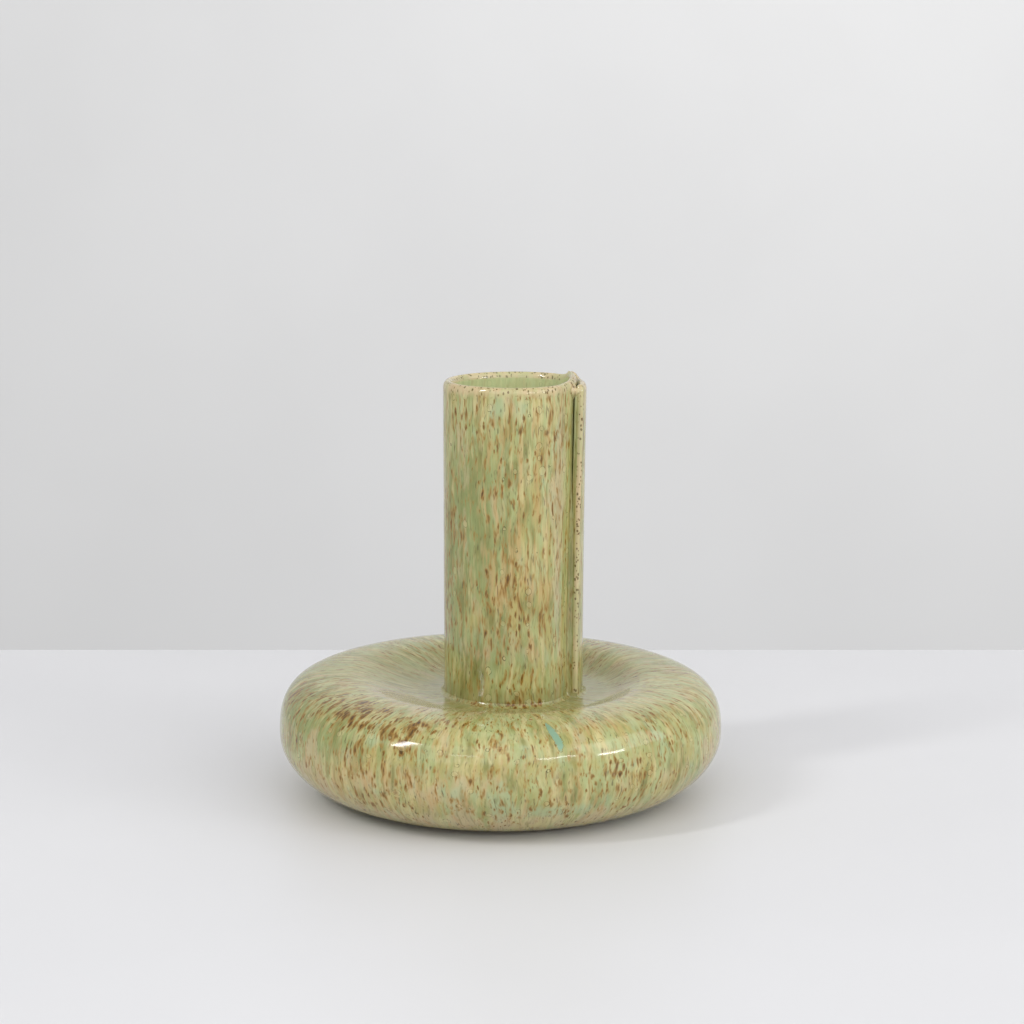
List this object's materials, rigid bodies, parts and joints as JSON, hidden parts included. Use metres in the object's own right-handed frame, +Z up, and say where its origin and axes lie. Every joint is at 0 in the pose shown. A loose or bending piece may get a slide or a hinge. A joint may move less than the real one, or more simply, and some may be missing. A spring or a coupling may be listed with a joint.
{
  "type": "boule vase",
  "caption": "Hand-built glazed stoneware vase: a hollow doughnut-shaped body with a dished middle and a straight tubular neck rolled from a slab, for flower stems.",
  "frame": {"origin": "centre of the flat underside, where the widest line's axis meets the table", "axes": "+Z up, -Y towards the front where the lap of the neck shows, +X to the right of that view"},
  "size_m": [0.22, 0.22, 0.2083],
  "materials": {
    "speckled_glaze": "glossy runny celadon glaze over stoneware, cream to sage green with elongated brown specks",
    "bare_stoneware": "matt fired clay, buff, unglazed"
  },
  "bodies": {
    "root": {"floor_slab": "bare_stoneware", "lower_wall": "speckled_glaze", "upper_wall": "speckled_glaze", "joint_coil": "bare_stoneware", "neck_slab": "speckled_glaze", "foot_coil": "speckled_glaze"}
  },
  "joints": []
}
